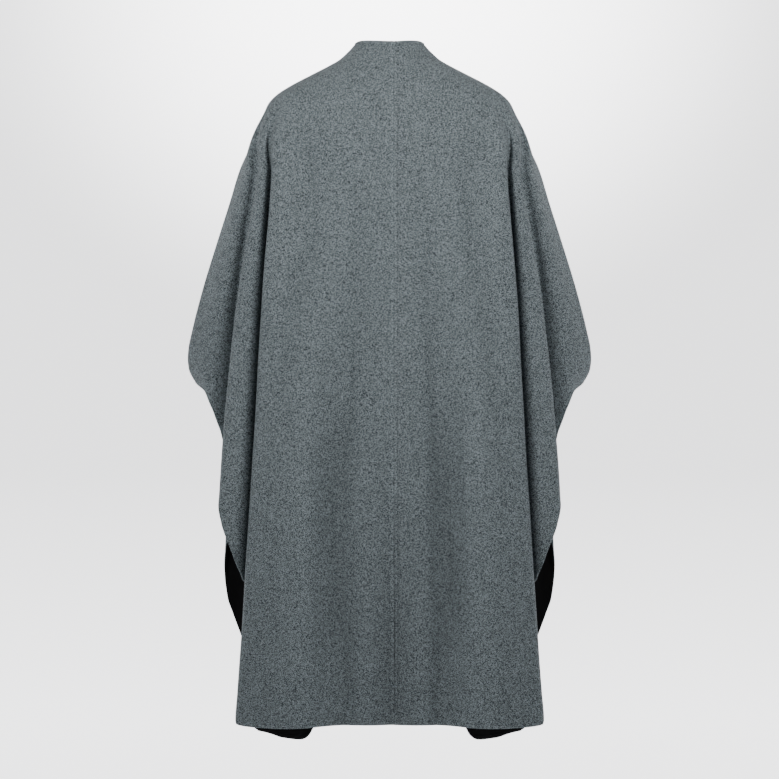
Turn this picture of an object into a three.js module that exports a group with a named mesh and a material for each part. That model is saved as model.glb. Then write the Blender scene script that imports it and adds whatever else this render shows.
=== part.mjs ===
// Wool cape coat, open in front, as it hangs when it is worn. Millimetres, +Z up.
// The wearer faces +Y, so the back of the cape faces -Y. The origin is the middle of
// the neck opening, level with the base of the neck.
import * as THREE from 'three';

// Driving sizes
const WALL = 2.8; // double-faced wool cloth
const SEAM_GAP = 0.3; // between two panels along a seam
const SEAM_SIDEWAYS = 8; // the back seam hangs this far to +X of the middle
const SEAM_FADE = 3; // rails over which that shift dies away
const CORNER_RADIUS = 21; // rounded lower corner of each front
const CORNER_SPAN = 26; // cloth between the last two rails at the hem
const NECK_TOP = { centre: 26, arm: 30, edge: 8 }; // height of the top edge
const NECK_RISE_RAILS = 6; // rails over which the top edge climbs from the centre
const FOLD_FADE = { from: -75, to: -200 }; // folds grow out of the smooth shoulder
const MIDDLE_Y = -10; // the shoulder rings' widest place
const ROW_CROWDING = 1.45; // rows lie closer together on the shoulder

// Smooth shoulder rings, from the bottom up: a rounded oval, open in front
const SHOULDER = [
  { z: -260, half: 279, back: -136, front: 130, round: 3.2, open: 84 },
  { z: -190, half: 259.5, back: -130, front: 120, round: 3.1, open: 77 },
  { z: -149, half: 239.5, back: -126, front: 111, round: 3.0, open: 73 },
  { z: -104, half: 220.5, back: -117, front: 99, round: 2.8, open: 68 },
  { z: -77, half: 210, back: -110, front: 91, round: 2.6, open: 65 },
  { z: -63, half: 197, back: -105, front: 86, round: 2.5, open: 63 },
  { z: -49, half: 176, back: -99, front: 79, round: 2.4, open: 61 },
  { z: -28, half: 137, back: -89, front: 68, round: 2.2, open: 58 },
  { z: -14, half: 110, back: -81, front: 60, round: 2.1, open: 55 },
  { z: 0, half: 86, back: -74, front: 51, round: 2.0, open: 52 },
  { z: 10, half: 74.8, back: -69, front: 44, round: 2.0, open: 50 },
  { z: 20, half: 65, back: -65, front: 38, round: 2.0, open: 48 },
  { z: 34, half: 55, back: -61, front: 32, round: 2.0, open: 46 },
];

// Line of the overarm seam, seen from behind: half width of the cape at each height
const OVERARM = [
  { z: -1200, half: 300 },
  { z: -580, half: 328 },
  { z: -562, half: 338 },
  { z: -551, half: 346.5 },
  { z: -535, half: 356 },
  { z: -515, half: 359 },
  { z: -500, half: 358 },
  { z: -468, half: 350.6 },
  { z: -398, half: 330.2 },
  { z: -315, half: 302.3 },
  { z: -246, half: 278.5 },
  { z: -190, half: 260 },
  { z: -149, half: 239.5 },
  { z: -104, half: 220.3 },
  { z: -77, half: 209.2 },
  { z: -49, half: 175 },
];

// Rails run from the neck to the hem and set the folds. A section at one height goes from
// rail to rail. share: place on the smooth shoulder, as a part of the half width in the
// back, and of the way from the overarm seam to the front edge in the front.
// x, y: place at LEVELS. bend: radius of the fold, or SOFT for a gentle wave.
const SOFT = 0;
const LEVELS = [-190, -420, -760, -1180];
const RAILS = [
  { name: 'centre', bend: SOFT, share: 0, x: [0, 0, 0, 0], y: [-131, -140, -152, -158], hem: -1132.8 },
  { name: 'small_wave', bend: SOFT, share: 0.16, x: [40, 44, 50, 52], y: [-131, -141, -158, -168], hem: -1132.2 },
  { name: 'trough', bend: SOFT, share: 0.33, x: [80, 86, 92, 94], y: [-130, -134, -138, -148], hem: -1133.8 },
  { name: 'wave', bend: SOFT, share: 0.49, x: [120, 134, 150, 168], y: [-128, -146, -172, -188], hem: -1135.6 },
  { name: 'side', bend: SOFT, share: 0.66, x: [164, 184, 202, 224], y: [-120, -140, -154, -162], hem: -1136 },
  { name: 'back_ridge', bend: 8, share: 0.8, x: [198, 217, 237, 266.2], y: [-110, -128, -134, -136], hem: -1133 },
  { name: 'back_valley', bend: 8, share: 0.87, x: [202, 208, 225, 250], y: [-74, -34, -52, -52], hem: -926 },
  { name: 'arm_face', bend: 7, share: 0.91, x: [206, 223, 243, 275], y: [-94, -108, -116, -116], hem: -877 },
  { name: 'arm_ridge', bend: 6, share: 0.945, x: [221, 262.5, 296, 306], y: [-86, -92, -98, -96], hem: -778 },
  { name: 'arm_valley', bend: 10, share: 0.967, x: [223, 248, 264, 280], y: [-54, -32, -18, -14], hem: -700 },
  { name: 'wing_back', bend: SOFT, share: 0.985, x: [244, 286, 326, 340], y: [-62, -68, -38, -8], hem: -600 },
  { name: 'overarm', bend: 16, share: 1, x: null, y: [-6, 6, 18, 22], hem: -560 },
  { name: 'wing_front', bend: SOFT, share: 0.04, x: [246, 292, 320, 332], y: [14, 46, 58, 62], hem: -604 },
  { name: 'arm_valley_front', bend: 12, share: 0.08, x: [234, 246, 262, 270], y: [32, 56, 62, 60], hem: -730 },
  { name: 'arm_ridge_front', bend: 10, share: 0.14, x: [228, 257, 293.5, 316], y: [54, 98, 108, 108], hem: -892 },
  { name: 'arm_face_front', bend: 16, share: 0.19, x: [222, 244, 259, 268], y: [66, 104, 116, 116], hem: -1000 },
  { name: 'chest_valley', bend: 14, share: 0.26, x: [212, 206, 200, 194], y: [78, 74, 72, 74], hem: -1090 },
  { name: 'chest_ridge', bend: 10, share: 0.37, x: [202, 222, 240, 252], y: [96, 128, 130, 124], hem: -1171 },
  { name: 'chest', bend: SOFT, share: 0.52, x: [168, 178, 200, 216], y: [112, 138, 136, 128], hem: -1181 },
  { name: 'front_wave', bend: SOFT, share: 0.68, x: [134, 146, 168, 188], y: [120, 146, 142, 132], hem: -1190.3 },
  { name: 'front_trough', bend: SOFT, share: 0.84, x: [106, 118, 138, 162], y: [124, 136, 128, 120], hem: -1192.3 },
  { name: 'front_edge', bend: SOFT, share: 1, x: [77, 94, 112, 137], y: [126, 134, 128, 122], hem: -1190 },
];
const OVERARM_RAIL = RAILS.findIndex((row) => row.name === 'overarm');
const EDGE_RAIL = RAILS.length - 1;

// Mesh rows and columns
const ROWS = { back: 22, front: 20 };
const FOLD_COLUMNS = [-0.32, -0.16, 0, 0.16, 0.32]; // round one tight fold
const WAVE_COLUMNS = [-0.5, -0.17, 0.17]; // along one gentle wave
const CORNER_COLUMN = 0.07; // from the front edge, for the rounded corner
const LEAST_STEP = 0.05; // no column lies nearer than this to a panel's end
const FOLD_SHARE = 0.32; // part of a rail's stretch, on each side, that its arc takes
const LEAST_REACH = 0.64; // the arc reaches at least this far along the way to the next rail
const MOST_REACH = 0.9; // and at most this far

// Shape helpers
const ease = (t) => {
  const c = Math.min(Math.max(t, 0), 1);
  return c * c * (3 - 2 * c);
};

// Smooth curve through rising places, without overshoot
function through(places, values, place, flatEnds = false) {
  const last = places.length - 1;
  const slopes = places.slice(1).map((p, i) => (values[i + 1] - values[i]) / (p - places[i]));
  const tangentAt = (i) => {
    if (i === 0 || i === last) {
      return flatEnds ? 0 : slopes[Math.min(i, last - 1)];
    }
    if (slopes[i - 1] * slopes[i] <= 0) {
      return 0;
    }
    const before = places[i] - places[i - 1];
    const after = places[i + 1] - places[i];
    const weightBefore = 2 * after + before;
    const weightAfter = after + 2 * before;
    return (weightBefore + weightAfter) / (weightBefore / slopes[i - 1] + weightAfter / slopes[i]);
  };
  const found = places.findIndex((p) => p > place);
  const i = Math.min(Math.max(found === -1 ? last - 1 : found - 1, 0), last - 1);
  const step = places[i + 1] - places[i];
  const t = Math.min(Math.max((place - places[i]) / step, 0), 1);
  return (
    (1 + 2 * t) * (1 - t) ** 2 * values[i] +
    t * (1 - t) ** 2 * step * tangentAt(i) +
    t ** 2 * (3 - 2 * t) * values[i + 1] +
    t ** 2 * (t - 1) * step * tangentAt(i + 1)
  );
}

const column = (rows, key) => rows.map((row) => row[key]);
const lowestFirst = (values) => [...values].reverse();
const ringAt = (key, z) => through(column(SHOULDER, 'z'), column(SHOULDER, key), z);
const overarmHalf = (z) =>
  through(column(OVERARM, 'z'), column(OVERARM, 'half'), z);
const atLevels = (values, z) => through(lowestFirst(LEVELS), lowestFirst(values), z);

// Where a rail crosses the section at height z
function railAt(index, z) {
  const row = RAILS[Math.abs(index)];
  const inFront = Math.abs(index) > OVERARM_RAIL;
  const half = ringAt('half', z);
  const part = inFront ? 1 - row.share * (1 - ringAt('open', z) / half) : row.share;
  const depth = ringAt(inFront ? 'front' : 'back', z);
  const round = ringAt('round', z);
  const ringY = MIDDLE_Y + (depth - MIDDLE_Y) * Math.max(1 - part ** round, 0) ** (1 / round);
  const foldX = row.x === null ? overarmHalf(z) : atLevels(row.x, z);
  const folded = ease((FOLD_FADE.from - z) / (FOLD_FADE.from - FOLD_FADE.to));
  const x = THREE.MathUtils.lerp(half * part, foldX, folded);
  const y = THREE.MathUtils.lerp(ringY, atLevels(row.y, z), folded);
  return new THREE.Vector2(index < 0 ? -x : x, y);
}

// Point of the section at height z. u counts rails from the centre back.
function sectionAt(u, z) {
  const near = Math.min(Math.round(u), EDGE_RAIL);
  if (near === EDGE_RAIL) {
    return railAt(EDGE_RAIL - 1, z).lerp(railAt(EDGE_RAIL, z), u - EDGE_RAIL + 1);
  }
  const rail = railAt(near, z);
  const start = railAt(near - 1, z).add(rail).multiplyScalar(0.5);
  const end = railAt(near + 1, z).add(rail).multiplyScalar(0.5);
  const across = u - near;
  const { bend } = RAILS[Math.abs(near)];
  if (bend === SOFT) {
    return arcPoint(start, rail, end, 1, across + 0.5);
  }
  const toStart = start.clone().sub(rail);
  const toEnd = end.clone().sub(rail);
  const cosine = toStart.dot(toEnd) / (toStart.length() * toEnd.length());
  const room = Math.min(toStart.length(), toEnd.length());
  const tangent = bend * Math.sqrt((1 + cosine) / (1 - cosine));
  const reach = THREE.MathUtils.clamp(tangent, LEAST_REACH * room, MOST_REACH * room);
  const arcStart = rail.clone().addScaledVector(toStart, reach / toStart.length());
  const arcEnd = rail.clone().addScaledVector(toEnd, reach / toEnd.length());
  if (across < -FOLD_SHARE) {
    return start.lerp(arcStart, (across + 0.5) / (0.5 - FOLD_SHARE));
  }
  if (across > FOLD_SHARE) {
    return arcEnd.lerp(end, (across - FOLD_SHARE) / (0.5 - FOLD_SHARE));
  }
  const turned = Math.sqrt((1 - cosine) / 2);
  return arcPoint(arcStart, rail, arcEnd, turned, (across + FOLD_SHARE) / (2 * FOLD_SHARE));
}

// Curve from one point to another that turns at a corner: an arc, or a parabola at weight 1
function arcPoint(from, corner, to, weight, t) {
  const a = (1 - t) ** 2;
  const b = 2 * weight * t * (1 - t);
  const c = t ** 2;
  return new THREE.Vector2(
    (from.x * a + corner.x * b + to.x * c) / (a + b + c),
    (from.y * a + corner.y * b + to.y * c) / (a + b + c),
  );
}

// Heights of the hem and of the neck's top edge along u
function hemAt(u) {
  const height = through([...RAILS.keys()], column(RAILS, 'hem'), Math.abs(u), true);
  const fromEdge = (EDGE_RAIL - Math.abs(u)) * CORNER_SPAN;
  if (fromEdge >= CORNER_RADIUS) {
    return height;
  }
  return height + CORNER_RADIUS - Math.sqrt(CORNER_RADIUS ** 2 - (CORNER_RADIUS - fromEdge) ** 2);
}

function neckTopAt(u) {
  const rail = Math.abs(u);
  if (rail <= OVERARM_RAIL) {
    return THREE.MathUtils.lerp(NECK_TOP.centre, NECK_TOP.arm, ease(rail / NECK_RISE_RAILS));
  }
  const along = (rail - OVERARM_RAIL) / (EDGE_RAIL - OVERARM_RAIL);
  return THREE.MathUtils.lerp(NECK_TOP.arm, NECK_TOP.edge, ease(along));
}

// Outer surface of the right half; v goes from the neck (0) to the hem (1)
function surfaceAt(u, v) {
  const neck = neckTopAt(u);
  const z = neck + (hemAt(u) - neck) * v ** ROW_CROWDING;
  const place = sectionAt(u, z);
  return new THREE.Vector3(place.x, place.y, z);
}

// Outward unit normal and unit tangent along u
function frameAt(u, v) {
  const probe = 0.02;
  const uLow = u - probe;
  const uHigh = Math.min(u + probe, EDGE_RAIL);
  const vLow = Math.max(v - probe, 0);
  const vHigh = Math.min(v + probe, 1);
  const along = surfaceAt(uHigh, v).sub(surfaceAt(uLow, v)).normalize();
  const down = surfaceAt(u, vHigh).sub(surfaceAt(u, vLow)).normalize();
  const normal = new THREE.Vector3().crossVectors(down, along).normalize();
  return { along, normal };
}

// Columns of a panel from one rail to another, with none close beside its two ends
function columnsBetween(first, last) {
  const between = RAILS.flatMap((row, index) =>
    (row.bend === SOFT ? WAVE_COLUMNS : FOLD_COLUMNS).map((offset) => index + offset),
  );
  if (last === EDGE_RAIL) {
    between.push(EDGE_RAIL - CORNER_COLUMN);
  }
  const inside = between.filter((u) => u > first + LEAST_STEP && u < last - LEAST_STEP);
  return [first, ...inside.sort((a, b) => a - b), last];
}

// One panel as a closed wall: an outer and an inner skin, joined all round the edge.
// side is 1 for +X and -1 for -X. seams says which ends meet another panel.
function panelGeometry(first, last, rows, side, seams) {
  const columns = columnsBetween(first, last);
  const points = [];
  [0, WALL].forEach((depth) => {
    columns.forEach((u, index) => {
      const seamStep = seamStepAt(index, columns.length, seams);
      for (let row = 0; row <= rows; row += 1) {
        const v = row / rows;
        const { along, normal } = frameAt(u, v);
        const point = surfaceAt(u, v)
          .addScaledVector(normal, -depth)
          .addScaledVector(along, seamStep);
        const shift = SEAM_SIDEWAYS * (1 - ease(u / SEAM_FADE));
        points.push(side * point.x + shift, point.y, point.z);
      }
    });
  });
  return closedGrid(points, columns.length, rows + 1, side);
}

function seamStepAt(index, count, seams) {
  if (index === 0 && seams.atStart) {
    return SEAM_GAP / 2;
  }
  if (index === count - 1 && seams.atEnd) {
    return -SEAM_GAP / 2;
  }
  return 0;
}

// Triangles of the two skins and of the rim between them
function closedGrid(points, across, down, side) {
  const skin = across * down;
  const at = (layer, i, j) => layer * skin + i * down + j;
  const triangles = [];
  const quad = (a, b, c, d) => {
    if (side > 0) {
      triangles.push(a, b, c, a, c, d);
    } else {
      triangles.push(a, c, b, a, d, c);
    }
  };
  for (let i = 0; i < across - 1; i += 1) {
    for (let j = 0; j < down - 1; j += 1) {
      quad(at(0, i, j), at(0, i, j + 1), at(0, i + 1, j + 1), at(0, i + 1, j));
      quad(at(1, i, j), at(1, i + 1, j), at(1, i + 1, j + 1), at(1, i, j + 1));
    }
    quad(at(0, i, 0), at(0, i + 1, 0), at(1, i + 1, 0), at(1, i, 0));
    quad(at(0, i, down - 1), at(1, i, down - 1), at(1, i + 1, down - 1), at(0, i + 1, down - 1));
  }
  for (let j = 0; j < down - 1; j += 1) {
    quad(at(0, 0, j), at(1, 0, j), at(1, 0, j + 1), at(0, 0, j + 1));
    quad(at(0, across - 1, j), at(0, across - 1, j + 1), at(1, across - 1, j + 1), at(1, across - 1, j));
  }
  const geometry = new THREE.BufferGeometry();
  geometry.setAttribute('position', new THREE.Float32BufferAttribute(points, 3));
  geometry.setIndex(triangles);
  geometry.computeVertexNormals();
  return geometry;
}

// Heathered grey wool, matt
const wool = new THREE.MeshStandardMaterial({ color: 0x6a7275, roughness: 0.95, metalness: 0 });

function panelMesh(name, geometry) {
  const mesh = new THREE.Mesh(geometry, wool);
  mesh.name = name;
  return mesh;
}

const cape = new THREE.Group();
cape.name = 'wool_cape_coat';
[
  { side: -1, word: 'left' },
  { side: 1, word: 'right' },
].forEach(({ side, word }) => {
  const back = panelGeometry(0, OVERARM_RAIL, ROWS.back, side, { atStart: true, atEnd: true });
  const front = panelGeometry(OVERARM_RAIL, EDGE_RAIL, ROWS.front, side, { atStart: true, atEnd: false });
  cape.add(panelMesh(`back_${word}`, back));
  cape.add(panelMesh(`front_${word}`, front));
});

export default cape;
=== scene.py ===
import math

import bpy
import numpy as np
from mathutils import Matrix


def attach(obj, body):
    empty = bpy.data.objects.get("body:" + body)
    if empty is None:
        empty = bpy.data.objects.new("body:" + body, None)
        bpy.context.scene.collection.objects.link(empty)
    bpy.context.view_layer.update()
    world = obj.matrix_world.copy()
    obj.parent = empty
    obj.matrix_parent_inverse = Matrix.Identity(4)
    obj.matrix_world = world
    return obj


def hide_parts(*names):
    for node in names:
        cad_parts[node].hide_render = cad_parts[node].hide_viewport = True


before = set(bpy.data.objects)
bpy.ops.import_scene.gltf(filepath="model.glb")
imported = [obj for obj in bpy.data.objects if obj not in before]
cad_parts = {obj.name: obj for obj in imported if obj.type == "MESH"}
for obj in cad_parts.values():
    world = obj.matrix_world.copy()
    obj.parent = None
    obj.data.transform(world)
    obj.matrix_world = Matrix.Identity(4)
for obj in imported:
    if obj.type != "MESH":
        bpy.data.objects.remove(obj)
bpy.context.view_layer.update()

# Driving sizes, in millimetres
MM = 0.001
WALL = 2.8  # double-faced wool cloth
SEAM_SIDEWAYS = 8.0  # the back seam hangs this far to +X of the middle
SEAM_FADE = 3  # rails over which that shift dies away
CORNER_RADIUS = 21.0  # rounded lower corner of each front
CORNER_SPAN = 26.0  # cloth between the last two rails at the hem
NECK_TOP = {"centre": 26.0, "arm": 30.0, "edge": 8.0}  # height of the top edge
NECK_RISE_RAILS = 6  # rails over which the top edge climbs from the centre
FOLD_FADE = (-75.0, -200.0)  # folds grow out of the smooth shoulder
MIDDLE_Y = -10.0  # the shoulder rings' widest place
ROW_CROWDING = 1.25  # rows lie closer together on the shoulder

# Smooth shoulder rings, from the bottom up: a rounded oval, open in front
SHOULDER_COLUMNS = ("z", "half", "back", "front", "round", "open")
SHOULDER = (
    (-260, 279, -136, 130, 3.2, 84),
    (-190, 259.5, -130, 120, 3.1, 77),
    (-149, 239.5, -126, 111, 3.0, 73),
    (-104, 220.5, -117, 99, 2.8, 68),
    (-77, 210, -110, 91, 2.6, 65),
    (-63, 197, -105, 86, 2.5, 63),
    (-49, 176, -99, 79, 2.4, 61),
    (-28, 137, -89, 68, 2.2, 58),
    (-14, 110, -81, 60, 2.1, 55),
    (0, 86, -74, 51, 2.0, 52),
    (10, 74.8, -69, 44, 2.0, 50),
    (20, 65, -65, 38, 2.0, 48),
    (34, 55, -61, 32, 2.0, 46),
)

# Line of the overarm seam, seen from behind: height, half width of the cape
OVERARM = (
    (-1200, 300), (-580, 328), (-562, 338), (-551, 346.5), (-535, 356), (-515, 359), (-500, 358),
    (-468, 350.6), (-398, 330.2), (-315, 302.3), (-246, 278.5), (-190, 260), (-149, 239.5), (-104, 220.3),
    (-77, 209.2), (-49, 175),
)

# Rails run from the neck to the hem and set the folds: name, bend radius, share of the way
# across the smooth shoulder, x and y at LEVELS, height of the hem
SOFT = 0
LEVELS = (-190, -420, -760, -1180)
RAILS = (
    ("centre", SOFT, 0, (0, 0, 0, 0), (-131, -140, -152, -158), -1132.8),
    ("small_wave", SOFT, 0.16, (40, 44, 50, 52), (-131, -141, -158, -168), -1132.2),
    ("trough", SOFT, 0.33, (80, 86, 92, 94), (-130, -134, -138, -148), -1133.8),
    ("wave", SOFT, 0.49, (120, 134, 150, 168), (-128, -146, -172, -188), -1135.6),
    ("side", SOFT, 0.66, (164, 184, 202, 224), (-120, -140, -154, -162), -1136),
    ("back_ridge", 8, 0.8, (198, 217, 237, 266.2), (-110, -128, -134, -136), -1133),
    ("back_valley", 8, 0.87, (202, 208, 225, 250), (-74, -34, -52, -52), -926),
    ("arm_face", 7, 0.91, (206, 223, 243, 275), (-94, -108, -116, -116), -877),
    ("arm_ridge", 6, 0.945, (221, 262.5, 296, 306), (-86, -92, -98, -96), -778),
    ("arm_valley", 10, 0.967, (223, 248, 264, 280), (-54, -32, -18, -14), -700),
    ("wing_back", SOFT, 0.985, (244, 286, 326, 340), (-62, -68, -38, -8), -600),
    ("overarm", 16, 1, None, (-6, 6, 18, 22), -560),
    ("wing_front", SOFT, 0.04, (246, 292, 320, 332), (14, 46, 58, 62), -604),
    ("arm_valley_front", 12, 0.08, (234, 246, 262, 270), (32, 56, 62, 60), -730),
    ("arm_ridge_front", 10, 0.14, (228, 257, 293.5, 316), (54, 98, 108, 108), -892),
    ("arm_face_front", 16, 0.19, (222, 244, 259, 268), (66, 104, 116, 116), -1000),
    ("chest_valley", 14, 0.26, (212, 206, 200, 194), (78, 74, 72, 74), -1090),
    ("chest_ridge", 10, 0.37, (202, 222, 240, 252), (96, 128, 130, 124), -1171),
    ("chest", SOFT, 0.52, (168, 178, 200, 216), (112, 138, 136, 128), -1181),
    ("front_wave", SOFT, 0.68, (134, 146, 168, 188), (120, 146, 142, 132), -1190.3),
    ("front_trough", SOFT, 0.84, (106, 118, 138, 162), (124, 136, 128, 120), -1192.3),
    ("front_edge", SOFT, 1, (77, 94, 112, 137), (126, 134, 128, 122), -1190),
)
RAIL_NAMES = [row[0] for row in RAILS]
OVERARM_RAIL = RAIL_NAMES.index("overarm")
EDGE_RAIL = len(RAILS) - 1
FOLD_SHARE = 0.32  # part of a rail's stretch, on each side, that its arc takes
LEAST_REACH = 0.64  # the arc reaches at least this far along the way to the next rail
MOST_REACH = 0.9  # and at most this far
SMOOTH_ANGLE = 50.0  # degrees up to which two faces shade as one

# Mesh steps: an even grid, with fine steps beside seams and edges
STEPS_PER_RAIL = 17
ROWS = 140
FINE_STEPS = (0, 0.6, 1.3, 2.2, 3.2, 4.2, 5.0, 5.6, 6.2, 6.9, 7.8, 9.2, 11.5, 15)  # millimetres
RAIL_SPAN = 40.0  # usual cloth between two rails beside a seam
DROP = 1165.0  # usual length of a panel

# Sewn edges and seams: distance from the edge, half width, height out of the cloth
STITCH_IN = 6.0  # stitch line, in from the edge
EDGE_RELIEF = ((0.0, 1.6, -0.9), (3.2, 1.9, 0.45), (STITCH_IN, 1.0, -0.7), (9.0, 2.0, 0.15))
SEAM_RELIEF = ((0.0, 1.3, -0.9), (3.0, 1.8, 0.6), (STITCH_IN, 1.0, -0.7), (9.0, 2.0, 0.15))
PLAIN_SEAM_RELIEF = ((0.0, 1.1, -0.8), (3.4, 2.0, 0.4))

# Painted light and shade in the cloth's colour, lighter on raised bands and at the rim and darker in stitched
# grooves, as a part of the whole: distance, half width, change
EDGE_PAINTED_LIGHT_SHADE = ((0.5, 0.9, 0.14), (4.2, 1.1, 0.11), (STITCH_IN, 0.9, -0.08), (7.8, 1.2, 0.04))
# Painted highlight on the seam's raised bands and painted shade in its stitch groove, for each side
SEAM_PAINTED_LIGHT_SHADE = {
    1: ((0.0, 1.0, 0.04), (2.6, 1.1, 0.20), (5.6, 1.1, -0.13)),
    -1: ((0.0, 1.0, 0.04), (3.2, 1.5, 0.20)),
}
CREASE_PAINTED_LIGHT_SHADE = 0.018  # painted light on crests and painted shade in troughs, for each millimetre that a crease stands out


# Soft creases laid over the folds. Each has a width in millimetres, a roundness (1 is a sharp
# line, 2 is round) and a path: height z, distance x from the middle, height out of the cloth
CREASES = {
    "back": (
        (15, 1.0, ((-190, 56, 0), (-270, 59, -4.0), (-321, 62, -4.8), (-421, 62, -4.8), (-471, 66, -6.4),
                   (-560, 71, -6.6), (-622, 77, -8.4), (-690, 84, -11.5), (-772, 88, -12.0),
                   (-873, 91, -12.5), (-973, 89, -11.5), (-1073, 83, -9.0), (-1200, 78, -7.5))),
        (27, 1.8, ((-200, 84, 0), (-270, 90, 3.0), (-371, 98, 3.0), (-471, 118, 2.8), (-572, 133, 3.2),
                   (-722, 138, 4.2), (-900, 138, 4.4), (-1200, 138, 4.4))),
        (19, 1.2, ((-80, 146, 0), (-150, 138, -5.0), (-220, 130, -5.6), (-321, 134, -5.6), (-371, 145, -6.0),
                   (-421, 157, -5.8), (-471, 166, -4.8), (-530, 174, -4.6), (-590, 180, -3.0),
                   (-700, 190, -0.8), (-900, 194, 0))),
        (13, 1.8, ((-110, 186, 0), (-180, 188, 3.0), (-321, 182, 1.6), (-421, 188, 2.4), (-560, 196, 0))),
        (25, 1.15, ((-640, 2, 0), (-780, 0, -5.5), (-873, -1, -9.0), (-1023, -3, -13.0), (-1200, -4, -15.0))),
        (10, 1.6, ((-150, 70, 0), (-270, 66, 1.2), (-420, 74, 0))),
        (9, 1.6, ((-860, 44, 0), (-960, 47, 1.6), (-1060, 46, 0.8), (-1200, 46, 0.4))),
        (8, 1.6, ((-930, 196, 0), (-1010, 206, -1.6), (-1140, 214, -2.0))),
    ),
    "front": (
        (15, 1.4, ((-150, 148, 0), (-300, 154, -4.0), (-520, 172, -5.0), (-760, 182, -3.0), (-1000, 196, 0))),
        (20, 1.7, ((-240, 118, 0), (-420, 128, 3.0), (-700, 140, 3.4), (-1230, 156, 2.4))),
        (13, 1.4, ((-480, 112, 0), (-700, 126, -5.0), (-940, 142, -5.4), (-1230, 156, -4.0))),
        (12, 1.5, ((-640, 196, 0), (-860, 206, -3.4), (-1080, 214, -2.6), (-1230, 218, -2.0))),
    ),
}
CREASED = {"back": (-1, 5), "front": (17, 22)}  # rails between which they lie
CREASE_END = 0.5  # rails over which they die away there
CREASE_BLUNT = 1.5  # rounds off the line of a sharp crease, in square millimetres
SWAYS = ((2.2, 74, 1.7, 1), (1.2, 31, 2.3, -1))  # of a path: amount, length, shift, turn by side
SEAM_CALM = 0.8  # rails beside the overarm seam that stay calm
UNEVEN_SLOW = 0.9  # millimetres
UNEVEN_QUICK = 0.35
UNEVEN_FROM = (-60, 300)  # height where it starts, and the drop over which it grows


def ease(t):
    c = np.clip(t, 0.0, 1.0)
    return c * c * (3 - 2 * c)


# Smooth curve through rising places, without overshoot
def through(places, values, place, flat_ends=False):
    places = np.asarray(places, float)
    values = np.asarray(values, float)
    steps = np.diff(places)
    slopes = np.diff(values) / steps
    tangents = np.zeros_like(values)
    for i in range(1, len(places) - 1):
        if slopes[i - 1] * slopes[i] > 0:
            before = 2 * steps[i] + steps[i - 1]
            after = steps[i] + 2 * steps[i - 1]
            tangents[i] = (before + after) / (before / slopes[i - 1] + after / slopes[i])
    if not flat_ends:
        tangents[0], tangents[-1] = slopes[0], slopes[-1]
    i = np.clip(np.searchsorted(places, place, side="right") - 1, 0, len(places) - 2)
    t = np.clip((place - places[i]) / steps[i], 0, 1)
    return (
        (1 + 2 * t) * (1 - t) ** 2 * values[i]
        + t * (1 - t) ** 2 * steps[i] * tangents[i]
        + t ** 2 * (3 - 2 * t) * values[i + 1]
        + t ** 2 * (t - 1) * steps[i] * tangents[i + 1]
    )


def ring_at(key, z):
    column = SHOULDER_COLUMNS.index(key)
    return through([row[0] for row in SHOULDER], [row[column] for row in SHOULDER], z)


def at_levels(values, z):
    return through(LEVELS[::-1], values[::-1], z)


# Where a rail crosses the sections at the heights z
def rail_at(index, z):
    _name, _bend, share, xs, ys, _hem = RAILS[abs(index)]
    in_front = abs(index) > OVERARM_RAIL
    half = ring_at("half", z)
    part = 1 - share * (1 - ring_at("open", z) / half) if in_front else share + 0 * z
    depth = ring_at("front" if in_front else "back", z)
    roundness = ring_at("round", z)
    ring_y = MIDDLE_Y + (depth - MIDDLE_Y) * np.clip(1 - part ** roundness, 0, 1) ** (1 / roundness)
    if xs is None:
        fold_x = through([row[0] for row in OVERARM], [row[1] for row in OVERARM], z)
    else:
        fold_x = at_levels(xs, z)
    folded = ease((FOLD_FADE[0] - z) / (FOLD_FADE[0] - FOLD_FADE[1]))
    x = half * part * (1 - folded) + fold_x * folded
    y = ring_y * (1 - folded) + at_levels(ys, z) * folded
    return np.stack([-x if index < 0 else x, y], axis=-1)


# Curve from one point to another that turns at a corner: an arc, or a parabola at weight 1
def arc_point(start, corner, end, weight, t):
    a = (1 - t) ** 2
    b = 2 * weight * t * (1 - t)
    c = t ** 2
    return (start * a + corner * b + end * c) / (a + b + c)


# Points of the sections at the heights z; u counts rails from the centre back
def section_at(u, z):
    near = min(round(u), EDGE_RAIL)
    if near == EDGE_RAIL:
        before, edge = rail_at(EDGE_RAIL - 1, z), rail_at(EDGE_RAIL, z)
        return before + (edge - before) * (u - EDGE_RAIL + 1)
    rail = rail_at(near, z)
    start = (rail_at(near - 1, z) + rail) / 2
    end = (rail_at(near + 1, z) + rail) / 2
    across = u - near
    bend = RAILS[abs(near)][1]
    if bend == SOFT:
        return arc_point(start, rail, end, 1, across + 0.5)
    to_start, to_end = start - rail, end - rail
    start_length = np.linalg.norm(to_start, axis=-1)
    end_length = np.linalg.norm(to_end, axis=-1)
    cosine = np.sum(to_start * to_end, axis=-1) / (start_length * end_length)
    room = np.minimum(start_length, end_length)
    tangent = bend * np.sqrt((1 + cosine) / (1 - cosine))
    reach = np.clip(tangent, LEAST_REACH * room, MOST_REACH * room)
    arc_start = rail + to_start * (reach / start_length)[:, None]
    arc_end = rail + to_end * (reach / end_length)[:, None]
    straight = 0.5 - FOLD_SHARE
    if across < -FOLD_SHARE:
        return start + (arc_start - start) * (across + 0.5) / straight
    if across > FOLD_SHARE:
        return arc_end + (end - arc_end) * (across - FOLD_SHARE) / straight
    turned = np.sqrt((1 - cosine) / 2)[:, None]
    return arc_point(arc_start, rail, arc_end, turned, (across + FOLD_SHARE) / (2 * FOLD_SHARE))


# Heights of the hem and of the neck's top edge along u
def hem_at(u):
    height = through(range(len(RAILS)), [row[5] for row in RAILS], u, flat_ends=True)
    from_edge = (EDGE_RAIL - u) * CORNER_SPAN
    if from_edge >= CORNER_RADIUS:
        return height
    return height + CORNER_RADIUS - math.sqrt(CORNER_RADIUS ** 2 - (CORNER_RADIUS - from_edge) ** 2)


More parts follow.
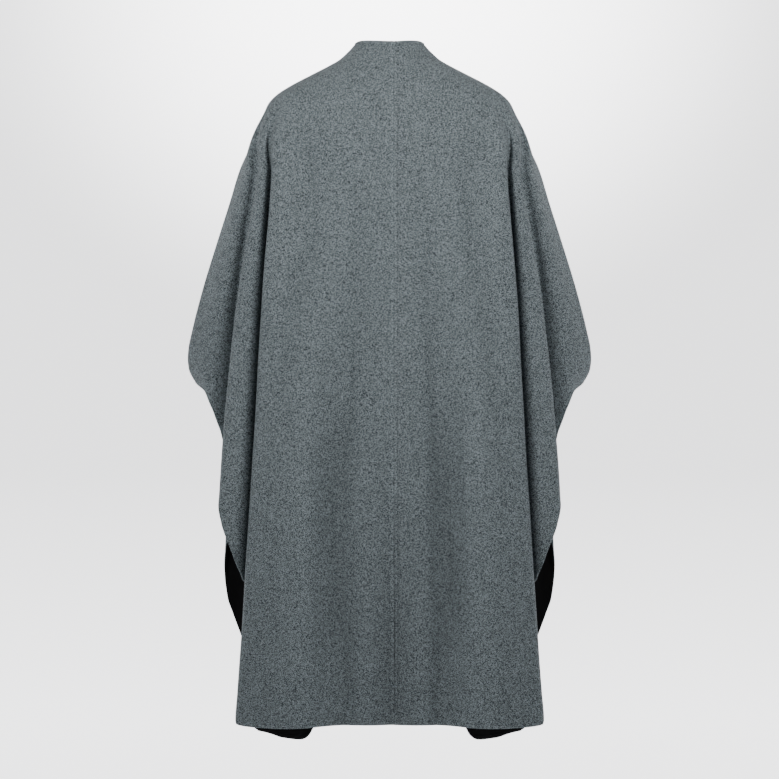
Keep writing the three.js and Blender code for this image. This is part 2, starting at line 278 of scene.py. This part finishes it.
def neck_top_at(u):
    if u <= OVERARM_RAIL:
        low, high, along = NECK_TOP["centre"], NECK_TOP["arm"], u / NECK_RISE_RAILS
    else:
        low, high = NECK_TOP["arm"], NECK_TOP["edge"]
        along = (u - OVERARM_RAIL) / (EDGE_RAIL - OVERARM_RAIL)
    return low + (high - low) * ease(along)


# Outer surface of the right half on a grid of columns and rows
def surface(columns, rows):
    points = np.zeros((len(columns), len(rows), 3))
    down = rows ** ROW_CROWDING
    for i, u in enumerate(columns):
        neck = neck_top_at(u)
        z = neck + (hem_at(u) - neck) * down
        points[i, :, :2] = section_at(u, z)
        points[i, :, 2] = z
    return points


def outward_normals(points):
    along = np.gradient(points, axis=0)
    down = np.gradient(points, axis=1)
    normals = np.cross(down, along)
    return normals / np.maximum(np.linalg.norm(normals, axis=-1, keepdims=True), 1e-9)


def relief_height(relief, distance):
    return sum(height * np.exp(-(((distance - place) / width) ** 2)) for place, width, height in relief)


# Height of the creases out of the smooth cloth
def crease_height(region, columns, points, side):
    first, last = CREASED[region]
    u = np.asarray(columns)[:, None]
    inside = ease((u - first) / CREASE_END) * ease((last - u) / CREASE_END)
    x, z = points[:, :, 0], points[:, :, 2]
    height = np.zeros_like(z)
    for index, (width, roundness, path) in enumerate(CREASES[region]):
        places = [row[0] for row in path][::-1]
        sway = 0
        for wide, length, shift, turn in SWAYS:
            sway = sway + wide * np.sin(z / length + index * shift + side * turn)
        centre = through(places, [row[1] for row in path][::-1], z) + sway
        amount = through(places, [row[2] for row in path][::-1], z)
        crosses_middle = path[-1][1] < 0  # then its x is the same on both panels
        away = np.sqrt((x * (side if crosses_middle else 1) - centre) ** 2 + CREASE_BLUNT)
        height += amount * np.exp(-((away / width) ** roundness))
    return height * inside


# Slight unevenness of a heavy cloth that hangs
def uneven_height(points, side):
    x, y, z = (points[:, :, k] / 100 for k in range(3))
    shift = 1.7 * side
    slow = np.sin(2.1 * x + 0.7 * z + shift) * np.sin(0.9 * z + 1.3 * y - shift)
    quick = np.sin(4.3 * x - 1.1 * z + 2 * shift) * np.sin(2.3 * z + 0.6 + shift)
    start, drop = UNEVEN_FROM
    hang = ease((start - points[:, :, 2]) / drop)
    return hang * (UNEVEN_SLOW * slow + UNEVEN_QUICK * quick)


def deselect_all():
    if bpy.context.object and bpy.context.object.mode != "OBJECT":
        bpy.ops.object.mode_set(mode="OBJECT")
    bpy.ops.object.select_all(action="DESELECT")


def add_attribute(mesh, name, values):
    layer = mesh.attributes.new(name, "FLOAT", "POINT")
    layer.data.foreach_set("value", np.asarray(values, np.float32))


def running_length(points, axis):
    steps = np.linalg.norm(np.diff(points, axis=axis), axis=-1)
    start = np.zeros_like(np.take(steps, [0], axis=axis))
    return np.cumsum(np.concatenate([start, steps], axis=axis), axis=axis)


# Cloth of one panel, made from a flat grid that is hung on the rails
class Panel:
    def __init__(self, name, first, last, side):
        self.name, self.first, self.last, self.side = name, first, last, side
        self.region = "front" if last == EDGE_RAIL else "back"
        self.columns = self.fine_at_ends(first, last, (last - first) * STEPS_PER_RAIL, RAIL_SPAN)
        self.rows = self.fine_at_ends(0, 1, ROWS, DROP)
        points = surface(self.columns, self.rows)
        normals = outward_normals(points)
        if first == 0:
            normals[0, :, 0] = 0
            normals[0] /= np.linalg.norm(normals[0], axis=-1, keepdims=True)
        self.calm_ends = self.seam_calm()
        self.creases = crease_height(self.region, self.columns, points, side) * self.calm_ends
        lift = self.creases + uneven_height(points, side) * self.calm_ends
        points = points + normals * lift[:, :, None]
        self.across = running_length(points, 0)
        self.down = running_length(points, 1)
        points = points + normals * self.sewn_height()[:, :, None]
        self.points = self.place_on_side(points)
        self.area = self.sheet_area()

    @staticmethod
    def fine_at_ends(first, last, steps, span):
        fine = np.array(FINE_STEPS) / span
        even = np.linspace(first, last, steps + 1)
        even = even[(even > first + fine[-1]) & (even < last - fine[-1])]
        return np.concatenate([first + fine, even, last - fine[::-1]])

    # Relief of the turned edges and of the seams
    def sewn_height(self):
        height = relief_height(EDGE_RELIEF, self.edge_distance())
        if self.first == 0:
            centre = SEAM_RELIEF if self.side > 0 else PLAIN_SEAM_RELIEF
            height = height + relief_height(centre, self.across)
            height = height + relief_height(PLAIN_SEAM_RELIEF, self.across[-1:, :] - self.across)
        else:
            height = height + relief_height(PLAIN_SEAM_RELIEF, self.across)
        return height

    # Painted light and shade: the colour is lighter on ridges and edges and darker in troughs and stitched
    # grooves
    def painted_light_shade(self):
        tone = relief_height(EDGE_PAINTED_LIGHT_SHADE, self.edge_distance()) + CREASE_PAINTED_LIGHT_SHADE * self.creases
        if self.first == 0:
            tone = tone + relief_height(SEAM_PAINTED_LIGHT_SHADE[self.side], self.across)
        return tone

    # Creases stop at seams, so that both sides of a seam keep one line
    def seam_calm(self):
        u = self.columns[:, None]
        calm = ease(abs(u - OVERARM_RAIL) / SEAM_CALM)
        return calm + 0 * self.rows[None, :]

    def place_on_side(self, points):
        points = points.copy()
        points[:, :, 0] *= self.side
        points[:, :, 0] += SEAM_SIDEWAYS * (1 - ease(self.columns / SEAM_FADE))[:, None]
        return points * MM

    def sheet_area(self):
        a = self.points[1:, :-1] - self.points[:-1, :-1]
        b = self.points[:-1, 1:] - self.points[:-1, :-1]
        return float(np.linalg.norm(np.cross(a, b), axis=-1).sum())

    # Distance along the cloth from a free edge, in millimetres
    def edge_distance(self):
        distance = self.down[:, -1:] - self.down
        distance = np.minimum(distance, self.down + 0 * distance)
        if self.last == EDGE_RAIL:
            distance = np.minimum(distance, self.across[-1:, :] - self.across)
        return distance

    def build(self, cloth):
        deselect_all()
        across, down = len(self.columns) - 1, len(self.rows) - 1
        bpy.ops.mesh.primitive_grid_add(x_subdivisions=across, y_subdivisions=down, size=1)
        sheet = bpy.context.object
        sheet.name = self.name
        mesh = sheet.data
        count = len(mesh.vertices)
        flat = np.zeros(count * 3)
        mesh.vertices.foreach_get("co", flat)
        flat = flat.reshape(-1, 3)
        i = np.rint((flat[:, 0] + 0.5) * across).astype(int)
        j = np.rint((0.5 - flat[:, 1]) * down).astype(int)
        mesh.vertices.foreach_set("co", self.points[i, j].ravel())
        add_attribute(mesh, "from_edge", self.edge_distance()[i, j])
        # Painted light and shade, kept on the mesh for the shader
        add_attribute(mesh, "painted_light_shade", self.painted_light_shade()[i, j])
        mesh.update()
        self.face_outwards(sheet)
        self.thicken(sheet)
        mesh.materials.append(cloth)
        return sheet

    def face_outwards(self, sheet):
        face = sheet.data.polygons[len(sheet.data.polygons) // 2]
        middle = self.points[len(self.columns) // 2, len(self.rows) // 2]
        normals = outward_normals(self.points)
        want = normals.reshape(-1, 3)[self.nearest_index(face.center)] * self.side
        if np.dot(np.array(face.normal), want) < 0:
            bpy.ops.object.mode_set(mode="EDIT")
            bpy.ops.mesh.select_all(action="SELECT")
            bpy.ops.mesh.flip_normals()
            bpy.ops.object.mode_set(mode="OBJECT")

    def nearest_index(self, place):
        away = self.points.reshape(-1, 3) - np.array(place)
        return int(np.argmin((away ** 2).sum(axis=1)))

    def thicken(self, sheet):
        skin = len(sheet.data.vertices)
        wall = sheet.modifiers.new("wall", "SOLIDIFY")
        wall.thickness = WALL * MM
        wall.offset = -1
        bpy.ops.object.modifier_apply(modifier=wall.name)
        if self.first == 0:
            self.close_centre(sheet.data, skin)
        inner = np.zeros(len(sheet.data.vertices))
        inner[skin:] = 1
        add_attribute(sheet.data, "inner_face", inner)
        bpy.ops.object.shade_smooth_by_angle(angle=math.radians(SMOOTH_ANGLE))

    # At the centre back the inner faces of the two panels meet as the outer ones do
    @staticmethod
    def close_centre(mesh, skin):
        places = np.zeros(len(mesh.vertices) * 3)
        mesh.vertices.foreach_get("co", places)
        places = places.reshape(-1, 3)
        seam = np.flatnonzero(abs(places[:skin, 0] - SEAM_SIDEWAYS * MM) < 0.01 * MM)
        places[skin + seam, 0] = SEAM_SIDEWAYS * MM
        mesh.vertices.foreach_set("co", places.ravel())
        mesh.update()


# Shader maths on sockets
class Field:
    def __init__(self, tree, socket):
        self.tree, self.socket = tree, socket

    def math(self, operation, other=None, swap=False):
        node = self.tree.nodes.new("ShaderNodeMath")
        node.operation = operation
        first, second = (1, 0) if swap else (0, 1)
        self.tree.links.new(self.socket, node.inputs[first])
        if isinstance(other, Field):
            self.tree.links.new(other.socket, node.inputs[second])
        elif other is not None:
            node.inputs[second].default_value = other
        return Field(self.tree, node.outputs[0])

    def __add__(self, other):
        return self.math("ADD", other)

    __radd__ = __add__

    def __mul__(self, other):
        return self.math("MULTIPLY", other)

    __rmul__ = __mul__

    def __sub__(self, other):
        return self.math("SUBTRACT", other)

    def __rsub__(self, other):
        return self.math("SUBTRACT", other, swap=True)

    def __truediv__(self, other):
        return self.math("DIVIDE", other)

    def __pow__(self, other):
        return self.math("POWER", other)


class Shader:
    def __init__(self, name):
        self.material = bpy.data.materials.new(name)
        self.material.use_nodes = True
        self.tree = self.material.node_tree
        self.surface = self.tree.nodes["Principled BSDF"]

    # Any node: its type, its settings, its inputs, and which output is wanted
    def node(self, kind, settings=None, inputs=None, output=0):
        made = self.tree.nodes.new("ShaderNode" + kind)
        for key, value in (settings or {}).items():
            if key == "stops":
                set_stops(made.color_ramp, value)
            else:
                setattr(made, key, value)
        for key, value in (inputs or {}).items():
            self.feed(made.inputs[key], value)
        return Field(self.tree, made.outputs[output])

    def feed(self, socket, value):
        if isinstance(value, Field):
            self.tree.links.new(value.socket, socket)
        else:
            socket.default_value = value

    def attribute(self, name):
        return self.node("Attribute", {"attribute_name": name}, output="Fac")

    # 1 at a free edge, fading to 0 over a width
    def near_edge(self, from_edge, width):
        return self.node("Clamp", inputs={"Value": 1 - from_edge / width})

    def mix(self, factor, first, second):
        settings = {"data_type": "RGBA", "clamp_factor": True}
        return self.node("Mix", settings, {0: factor, 6: first, 7: second}, output=2)


def set_stops(ramp, stops):
    while len(ramp.elements) > 1:
        ramp.elements.remove(ramp.elements[-1])
    for index, (place, value) in enumerate(stops):
        stop = ramp.elements[0] if index == 0 else ramp.elements.new(place)
        stop.position = place
        stop.color = value if len(value) == 4 else (*value, 1)


GREY_LIGHT = (0.29, 0.338, 0.355, 1)
GREY_MIDDLE = (0.135, 0.158, 0.166, 1)
GREY_DARK = (0.030, 0.037, 0.040, 1)
INNER_BLACK = (0.004, 0.004, 0.0045, 1)
INNER_EDGE = (0.030, 0.031, 0.032, 1)
SPECKLE_TURN = (0.6, 0.45, 0.3)  # radians, so that no row of flecks lies level
CURL_SCALE, CURL = 700, 0.0015  # how the fibres curl the flecks' outlines
TUFT_SCALE, TUFT_PART = 1220, 0.65
FLECK_SCALE, FLECK_PART = 1450, 0.35
CLOUD_SCALE, CLOUD_PART = 24, 0.02
HEATHER = ((0.43, GREY_DARK), (0.50, GREY_MIDDLE), (0.57, GREY_LIGHT))
RIM_HIGHLIGHT_WIDTH, RIM_HIGHLIGHT_PART = 2.6, 0.25  # painted highlight along a turned edge, in millimetres
TURNED_WIDTH, TURNED_PART = 7.0, 0.8  # turning that shows on the inner face
INNER_FROM, INNER_SHARPNESS = 0.55, 6  # where the cut edge turns black, on the way to the inner face
NAP_TUFT, NAP_FLECK = 0.4, 0.6  # parts of the nap's bumps


# Heathered grey wool with a nap, black on its inner face, with painted light and shade at edges, seams and
# creases
def wool_cloth(name):
    shader = Shader(name)
    upright = shader.node("TexCoord", output="Object")
    place = shader.node("Mapping", inputs={"Vector": upright, "Rotation": SPECKLE_TURN})
    bend = shader.node("TexNoise", inputs={"Vector": place, "Scale": CURL_SCALE}, output="Color")
    curled = shader.node("VectorMath", {"operation": "SCALE"}, {0: bend, "Scale": CURL})
    fibres = shader.node("VectorMath", {"operation": "ADD"}, {0: place, 1: curled})
    tuft = shader.node("TexVoronoi", inputs={"Vector": fibres, "Scale": TUFT_SCALE}, output="Color")
    fleck_inputs = {"Vector": place, "Scale": FLECK_SCALE, "Detail": 1, "Roughness": 0.6}
    fleck = shader.node("TexNoise", inputs=fleck_inputs)
    cloud_inputs = {"Vector": place, "Scale": CLOUD_SCALE, "Detail": 2, "Roughness": 0.5}
    cloud = shader.node("TexNoise", inputs=cloud_inputs)
    tone = tuft * TUFT_PART + fleck * FLECK_PART + (cloud - 0.5) * CLOUD_PART
    heather = shader.node("ValToRGB", {"stops": HEATHER}, {"Fac": tone})
    # Painted light and shade: the heathered colour is scaled lighter on ridges and darker in grooves and
    # troughs
    painted_light_scale = 1 + shader.attribute("painted_light_shade")
    outer = shader.node("VectorMath", {"operation": "SCALE"}, {0: heather, "Scale": painted_light_scale})
    from_edge = shader.attribute("from_edge")
    # Painted highlight: the colour turns lighter grey next to a free edge
    rim_highlight = shader.near_edge(from_edge, RIM_HIGHLIGHT_WIDTH)
    outer = shader.mix(rim_highlight * RIM_HIGHLIGHT_PART, outer, GREY_LIGHT)
    turned = shader.near_edge(from_edge, TURNED_WIDTH)
    inner_side = shader.mix(turned * turned * TURNED_PART, INNER_BLACK, INNER_EDGE)
    inner = shader.attribute("inner_face")
    colour = shader.mix((inner - INNER_FROM) * INNER_SHARPNESS, outer, inner_side)
    shader.feed(shader.surface.inputs["Base Color"], colour)
    height = tuft * NAP_TUFT + fleck * NAP_FLECK
    bump_inputs = {"Strength": 0.45, "Distance": 0.0006, "Height": height}
    shader.feed(shader.surface.inputs["Normal"], shader.node("Bump", inputs=bump_inputs))
    shader.surface.inputs["Roughness"].default_value = 0.95
    shader.surface.inputs["Specular IOR Level"].default_value = 0.15
    shader.surface.inputs["Sheen Weight"].default_value = 0.05
    shader.surface.inputs["Sheen Roughness"].default_value = 0.6
    return shader.material


def make_panels():
    cloth = wool_cloth("heathered_wool")
    for side, word in ((-1, "left"), (1, "right")):
        for region, first, last in (("back", 0, OVERARM_RAIL), ("front", OVERARM_RAIL, EDGE_RAIL)):
            panel = Panel(f"{region}_{word}_cloth", first, last, side)
            sheet = panel.build(cloth)
            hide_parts(f"{region}_{word}")
            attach(sheet, "root")


# Studio: one pale sweep of floor and wall, far enough to look at the cape from any side
FLOOR_Z = -1.62
SWEEP_WIDTH = 30.0
SWEEP_FRONT = -10.0
SWEEP_BACK = 7.0
SWEEP_RADIUS = 3.2
SWEEP_TOP = 9.0
SWEEP_STEPS = 16
WALL_GLOW = 1.75  # even light of the wall
TOP_GLOW = 4.8  # more of it above the cape, in an oval
TOP_OVAL = {"half_width": 2.0, "height": 1.25, "half_height": 1.7}
FLOOR_GLOW = 0.8  # and a little more near the floor
FLOOR_GLOW_FROM, FLOOR_GLOW_FADE = -0.9, 0.7
GLOW_FROM, GLOW_FADE = 0.4, 1.8  # only behind the cape
PAPER_BLUE = 1.012  # slightly cool
PAPER = (0.82, 0.82, 0.84, 1)


# Pale paper, lit evenly from behind the cape on
def studio_paper():
    shader = Shader("pale_paper")
    place = shader.node("TexCoord", output="Object")
    x, y, z = (shader.node("SeparateXYZ", inputs={"Vector": place}, output=axis) for axis in "XYZ")
    away = (x / TOP_OVAL["half_width"]) ** 2 + ((z - TOP_OVAL["height"]) / TOP_OVAL["half_height"]) ** 2
    top = shader.node("Clamp", inputs={"Value": 1 - away})
    low = shader.node("Clamp", inputs={"Value": (FLOOR_GLOW_FROM - z) / FLOOR_GLOW_FADE})
    behind = shader.node("Clamp", inputs={"Value": (y - GLOW_FROM) / GLOW_FADE})
    glow = behind * (WALL_GLOW + top * top * TOP_GLOW + low * FLOOR_GLOW)
    colour = shader.node("CombineColor", inputs={"Red": glow, "Green": glow, "Blue": glow * PAPER_BLUE})
    shader.feed(shader.surface.inputs["Emission Color"], colour)
    shader.surface.inputs["Emission Strength"].default_value = 1.0
    shader.surface.inputs["Base Color"].default_value = PAPER
    shader.surface.inputs["Roughness"].default_value = 0.9
    shader.surface.inputs["Specular IOR Level"].default_value = 0.1
    return shader.material


def make_studio():
    deselect_all()
    bpy.ops.mesh.primitive_plane_add(size=1)
    sweep = bpy.context.object
    sweep.name = "studio_sweep"
    bend = [(SWEEP_FRONT, FLOOR_Z)]
    for k in range(SWEEP_STEPS + 1):
        turn = math.pi / 2 * k / SWEEP_STEPS
        y = SWEEP_BACK - SWEEP_RADIUS + SWEEP_RADIUS * math.sin(turn)
        bend.append((y, FLOOR_Z + SWEEP_RADIUS * (1 - math.cos(turn))))
    bend.append((SWEEP_BACK, SWEEP_TOP))
    points = [(x, y, z) for y, z in bend for x in (-SWEEP_WIDTH / 2, SWEEP_WIDTH / 2)]
    faces = [(2 * k, 2 * k + 1, 2 * k + 3, 2 * k + 2) for k in range(len(bend) - 1)]
    sweep.data.clear_geometry()
    sweep.data.from_pydata(points, [], faces)
    sweep.data.update()
    bpy.ops.object.shade_smooth()
    sweep.data.materials.append(studio_paper())


def add_light(name, place, target, size, power, spread):
    light = bpy.data.lights.new(name, "AREA")
    light.shape = "RECTANGLE"
    light.size, light.size_y = size
    light.energy = power
    light.spread = math.radians(spread)
    lamp = bpy.data.objects.new(name, light)
    bpy.context.collection.objects.link(lamp)
    lamp.location = place
    lamp.rotation_euler = look_rotation(np.array(target) - np.array(place))
    lamp.visible_camera = False


def look_rotation(aim):
    flat = math.hypot(aim[0], aim[1])
    return (math.atan2(flat, -aim[2]), 0, math.atan2(-aim[0], aim[1]))


BOX_PLACE = (1.55, -1.9, 0.55)  # soft box on the right; the left one mirrors it
BOX_TARGET = (0, 0, 0.08)
BOX_SIZE = (0.8, 0.9)
BOX_POWER = 10.0  # watts
BOX_SPREAD = 94  # degrees
AIR = (0.93, 0.95, 1.0, 1)
AIR_STRENGTH = 0.13


def make_lights():
    x, y, z = BOX_PLACE
    for side in (-1, 1):
        add_light(f"soft_box_{side}", (x * side, y, z), BOX_TARGET, BOX_SIZE, BOX_POWER, BOX_SPREAD)
    world = bpy.data.worlds.new("studio_air")
    bpy.context.scene.world = world
    world.use_nodes = True
    air = world.node_tree.nodes["Background"].inputs
    air["Color"].default_value = AIR
    air["Strength"].default_value = AIR_STRENGTH


# Camera at the photograph's viewing angle
CAMERA_PLACE = (0.0, -4.64, -0.57)
FRAME_WIDTH_AT_BACK = 779 * 1.68 * MM  # width that the view takes in at the back panel
BACK_DISTANCE = 4.5
SENSOR = 36.0


def make_camera():
    data = bpy.data.cameras.new("studio_camera")
    data.sensor_width = SENSOR
    data.lens = SENSOR * BACK_DISTANCE / FRAME_WIDTH_AT_BACK
    camera = bpy.data.objects.new("studio_camera", data)
    bpy.context.collection.objects.link(camera)
    camera.location = CAMERA_PLACE
    camera.rotation_euler = (math.pi / 2, 0, 0)
    bpy.context.scene.camera = camera


make_camera()
make_panels()
make_studio()
make_lights()
